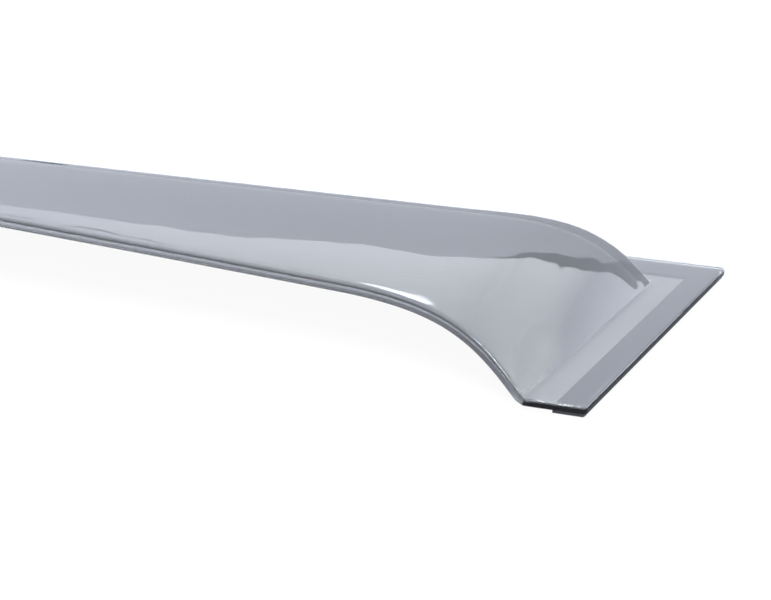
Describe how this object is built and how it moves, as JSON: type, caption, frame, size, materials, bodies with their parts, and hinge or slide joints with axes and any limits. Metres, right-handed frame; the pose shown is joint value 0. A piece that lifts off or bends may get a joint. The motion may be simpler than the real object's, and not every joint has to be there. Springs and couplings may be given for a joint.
{
  "type": "window rain deflector",
  "caption": "Long see-through smoked window rain deflector: a crowned hood with a rolled lip and closed, ramped ends on a flat flange with foam tape.",
  "frame": {"origin": "under the middle of the overall box, level with the underside of the tape", "axes": "+X along the door frame to the rear end, +Y up the door to the flange's top edge, +Z out of the door, up as the part lies on its tape"},
  "size_m": [0.7, 0.0936, 0.0253],
  "materials": {
    "smoked_acrylic": "see-through smoke grey, polished",
    "foam_tape": "matte closed-cell foam"
  },
  "bodies": {
    "root": {"visor_shell": "smoked_acrylic", "top_tape": "foam_tape", "rear_end_tape": "foam_tape", "front_end_tape": "foam_tape"}
  },
  "joints": []
}
